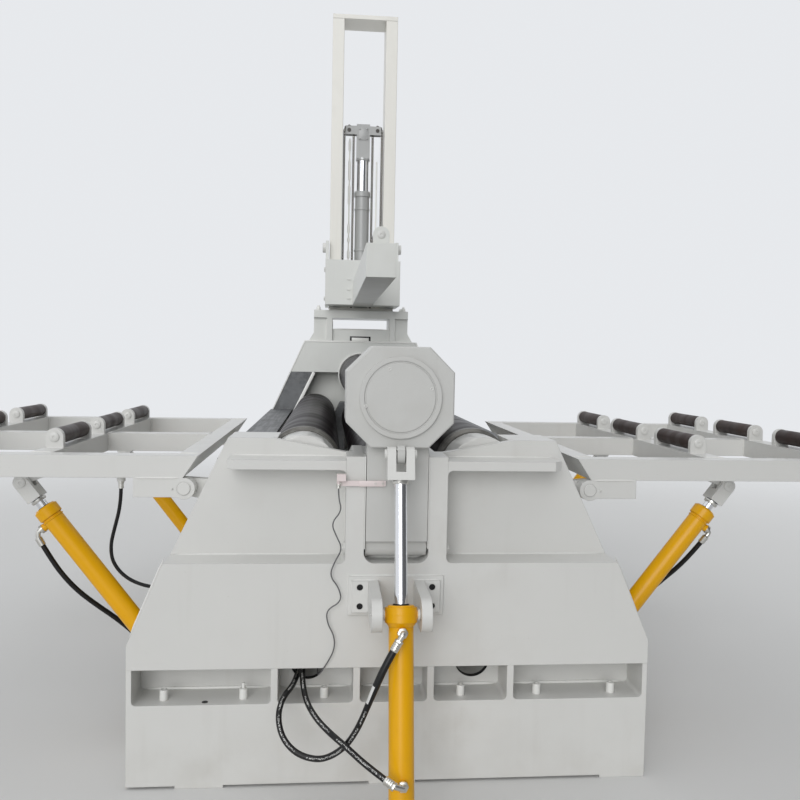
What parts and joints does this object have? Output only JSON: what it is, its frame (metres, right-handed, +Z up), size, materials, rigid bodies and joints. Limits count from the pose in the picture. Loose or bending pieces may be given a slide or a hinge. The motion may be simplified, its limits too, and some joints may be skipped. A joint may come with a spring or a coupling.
{
  "type": "four-roll plate bending machine",
  "caption": "Hydraulic plate bending rolls with a tilting drop head, leaning side rolls, hinged roller tables on lift cylinders and a mast with an overhead support arm.",
  "frame": {"origin": "on the floor, at the middle of the pad under the middle of the bed", "axes": "+Z up, +Y along the rolls towards the drive end and its mast, +X to the right of someone who faces the drop end"},
  "size_m": [4.19, 5.1764, 4.42],
  "materials": {
    "machine_paint": "semi-gloss warm white paint over welds and plate edges",
    "cylinder_paint": "glossy amber-yellow paint",
    "chromed_rod": "polished hard chrome",
    "roll_steel": "dark ground steel with an oil film",
    "bare_steel": "bare mill-finish plate",
    "dark_chain_steel": "dark oiled chain steel",
    "mast_cylinder_paint": "satin light-grey paint",
    "hose_rubber": "black hose rubber",
    "plated_fitting": "bright zinc plating"
  },
  "bodies": {
    "machine_frame": {"drop_end_base": "machine_paint", "drop_end_face": "machine_paint", "drop_end_upper_panel": "machine_paint", "drop_end_roll_guides": "machine_paint", "drive_end_base": "machine_paint", "drive_end_shoulders": "machine_paint", "drive_end_upper_panel": "machine_paint", "drive_end_roll_guides": "machine_paint", "drive_end_head_beam": "machine_paint", "main_bearing_housing": "machine_paint", "bed_beams": "machine_paint", "tie_girders": "machine_paint", "apron_plates": "bare_steel", "hinge_shaft": "bare_steel", "trunnion_bracket": "machine_paint", "table_hinge_lugs": "machine_paint", "cylinder_foot_lugs": "machine_paint", "mast_platform": "machine_paint", "mast_portal": "machine_paint", "mast_cylinder": "mast_cylinder_paint", "top_roll_drive": "mast_cylinder_paint", "anchor_chains": "dark_chain_steel", "drop_hose_a": "hose_rubber", "drop_hose_b": "hose_rubber", "sensor_wire": "hose_rubber", "left_near_hose": "hose_rubber", "right_near_hose": "hose_rubber", "left_hanging_hose": "hose_rubber"},
    "drop_head": {"drop_head": "machine_paint", "head_cover": "machine_paint", "limit_switch_arm": "plated_fitting"},
    "drop_barrel": {"drop_cylinder_barrel": "cylinder_paint", "drop_hose_fittings": "plated_fitting"},
    "drop_rod": {"drop_cylinder_rod": "chromed_rod"},
    "top_roll": {"top_roll": "roll_steel"},
    "bottom_housings": {"bottom_roll_housings": "machine_paint"},
    "bottom_roll": {"bottom_roll": "roll_steel"},
    "left_housings": {"left_roll_housings": "machine_paint"},
    "left_roll": {"left_roll": "roll_steel"},
    "right_housings": {"right_roll_housings": "machine_paint"},
    "right_roll": {"right_roll": "roll_steel"},
    "left_table": {"left_table_rails": "machine_paint", "left_table_brackets": "machine_paint", "left_table_cross_beams": "machine_paint"},
    "left_barrels": {"left_table_barrels": "cylinder_paint"},
    "left_rods": {"left_table_rods": "chromed_rod"},
    "left_inner_row": {"left_inner_rollers": "roll_steel"},
    "left_outer_row": {"left_outer_rollers": "roll_steel"},
    "right_table": {"right_table_rails": "machine_paint", "right_table_brackets": "machine_paint", "right_table_cross_beams": "machine_paint"},
    "right_barrels": {"right_table_barrels": "cylinder_paint"},
    "right_rods": {"right_table_rods": "chromed_rod"},
    "right_inner_row": {"right_inner_rollers": "roll_steel"},
    "right_outer_row": {"right_outer_rollers": "roll_steel"},
    "plunger": {"mast_plunger": "chromed_rod", "carriage_chains": "dark_chain_steel"},
    "carriage": {"mast_carriage": "machine_paint", "support_arm": "machine_paint"},
    "arm_row": {"arm_rollers": "roll_steel"}
  },
  "joints": [
    {"name": "head_tilt", "type": "hinge", "parent": "machine_frame", "child": "drop_head", "pos_m": [0, -1.98, 0.905], "axis": [1, 0, 0], "range_deg": [0, 40], "deforming": ["sensor_wire"]},
    {"name": "drop_barrel_swing", "type": "hinge", "parent": "machine_frame", "child": "drop_barrel", "pos_m": [0, -2.27, 0.735], "axis": [1, 0, 0], "range_deg": [0, 26], "deforming": ["drop_hose_a", "drop_hose_b"]},
    {"name": "drop_rod_slide", "type": "slide", "parent": "drop_barrel", "child": "drop_rod", "axis": [0, 0.23, 0.9732], "range_m": [-0.2, 0]},
    {"name": "top_roll_spin", "type": "hinge", "parent": "machine_frame", "child": "top_roll", "pos_m": [0, 0, 1.49], "axis": [0, 1, 0], "continuous": true},
    {"name": "bottom_lift", "type": "slide", "parent": "machine_frame", "child": "bottom_housings", "axis": [0, 0, 1], "range_m": [-0.06, 0.024]},
    {"name": "bottom_roll_spin", "type": "hinge", "parent": "bottom_housings", "child": "bottom_roll", "pos_m": [0, 0, 1.14], "axis": [0, 1, 0], "continuous": true},
    {"name": "left_lift", "type": "slide", "parent": "machine_frame", "child": "left_housings", "axis": [0.4297, 0, 0.903], "range_m": [-0.06, 0.15]},
    {"name": "left_roll_spin", "type": "hinge", "parent": "left_housings", "child": "left_roll", "pos_m": [-0.365, 0, 1.175], "axis": [0, 1, 0], "continuous": true},
    {"name": "right_lift", "type": "slide", "parent": "machine_frame", "child": "right_housings", "axis": [-0.4297, 0, 0.903], "range_m": [-0.06, 0.15]},
    {"name": "right_roll_spin", "type": "hinge", "parent": "right_housings", "child": "right_roll", "pos_m": [0.365, 0, 1.175], "axis": [0, 1, 0], "continuous": true},
    {"name": "left_table_tilt", "type": "hinge", "parent": "machine_frame", "child": "left_table", "pos_m": [-0.84, 0, 1.092], "axis": [0, 1, 0], "range_deg": [0, 25]},
    {"name": "left_barrels_swing", "type": "hinge", "parent": "machine_frame", "child": "left_barrels", "pos_m": [-0.905, 0, 0.255], "axis": [0, 1, 0], "range_deg": [0, 11]},
    {"name": "left_rods_slide", "type": "slide", "parent": "left_barrels", "child": "left_rods", "axis": [-0.6076, 0, 0.7942], "range_m": [0, 0.225]},
    {"name": "left_inner_row_spin", "type": "hinge", "parent": "left_table", "child": "left_inner_row", "pos_m": [-1.425, 0, 1.271], "axis": [0, 1, 0], "continuous": true},
    {"name": "left_outer_row_spin", "type": "hinge", "parent": "left_table", "child": "left_outer_row", "pos_m": [-2.05, 0, 1.271], "axis": [0, 1, 0], "continuous": true},
    {"name": "right_table_tilt", "type": "hinge", "parent": "machine_frame", "child": "right_table", "pos_m": [0.84, 0, 1.092], "axis": [0, -1, 0], "range_deg": [0, 25]},
    {"name": "right_barrels_swing", "type": "hinge", "parent": "machine_frame", "child": "right_barrels", "pos_m": [0.905, 0, 0.255], "axis": [0, -1, 0], "range_deg": [0, 11]},
    {"name": "right_rods_slide", "type": "slide", "parent": "right_barrels", "child": "right_rods", "axis": [0.6076, 0, 0.7942], "range_m": [0, 0.225]},
    {"name": "right_inner_row_spin", "type": "hinge", "parent": "right_table", "child": "right_inner_row", "pos_m": [1.425, 0, 1.271], "axis": [0, 1, 0], "continuous": true},
    {"name": "right_outer_row_spin", "type": "hinge", "parent": "right_table", "child": "right_outer_row", "pos_m": [2.05, 0, 1.271], "axis": [0, 1, 0], "continuous": true},
    {"name": "plunger_lift", "type": "slide", "parent": "machine_frame", "child": "plunger", "axis": [0, 0, 1], "range_m": [0, 0.65], "deforming": ["anchor_chains"]},
    {"name": "carriage_lift", "type": "slide", "parent": "plunger", "child": "carriage", "axis": [0, 0, 1], "range_m": [0, 0.65], "deforming": ["carriage_chains"]},
    {"name": "arm_row_spin", "type": "hinge", "parent": "carriage", "child": "arm_row", "pos_m": [0, 0, 2.276], "axis": [0, 1, 0], "continuous": true}
  ],
  "couplings": [
    {"joint": "drop_barrel_swing", "follows": "head_tilt", "ratio": 0.6221},
    {"joint": "drop_rod_slide", "follows": "head_tilt", "m_per_rad": -0.2784},
    {"joint": "carriage_lift", "follows": "plunger_lift", "ratio": 1},
    {"joint": "left_barrels_swing", "follows": "left_table_tilt", "ratio": 0.417},
    {"joint": "left_rods_slide", "follows": "left_table_tilt", "m_per_rad": 0.5114},
    {"joint": "right_barrels_swing", "follows": "right_table_tilt", "ratio": 0.417},
    {"joint": "right_rods_slide", "follows": "right_table_tilt", "m_per_rad": 0.5114}
  ]
}
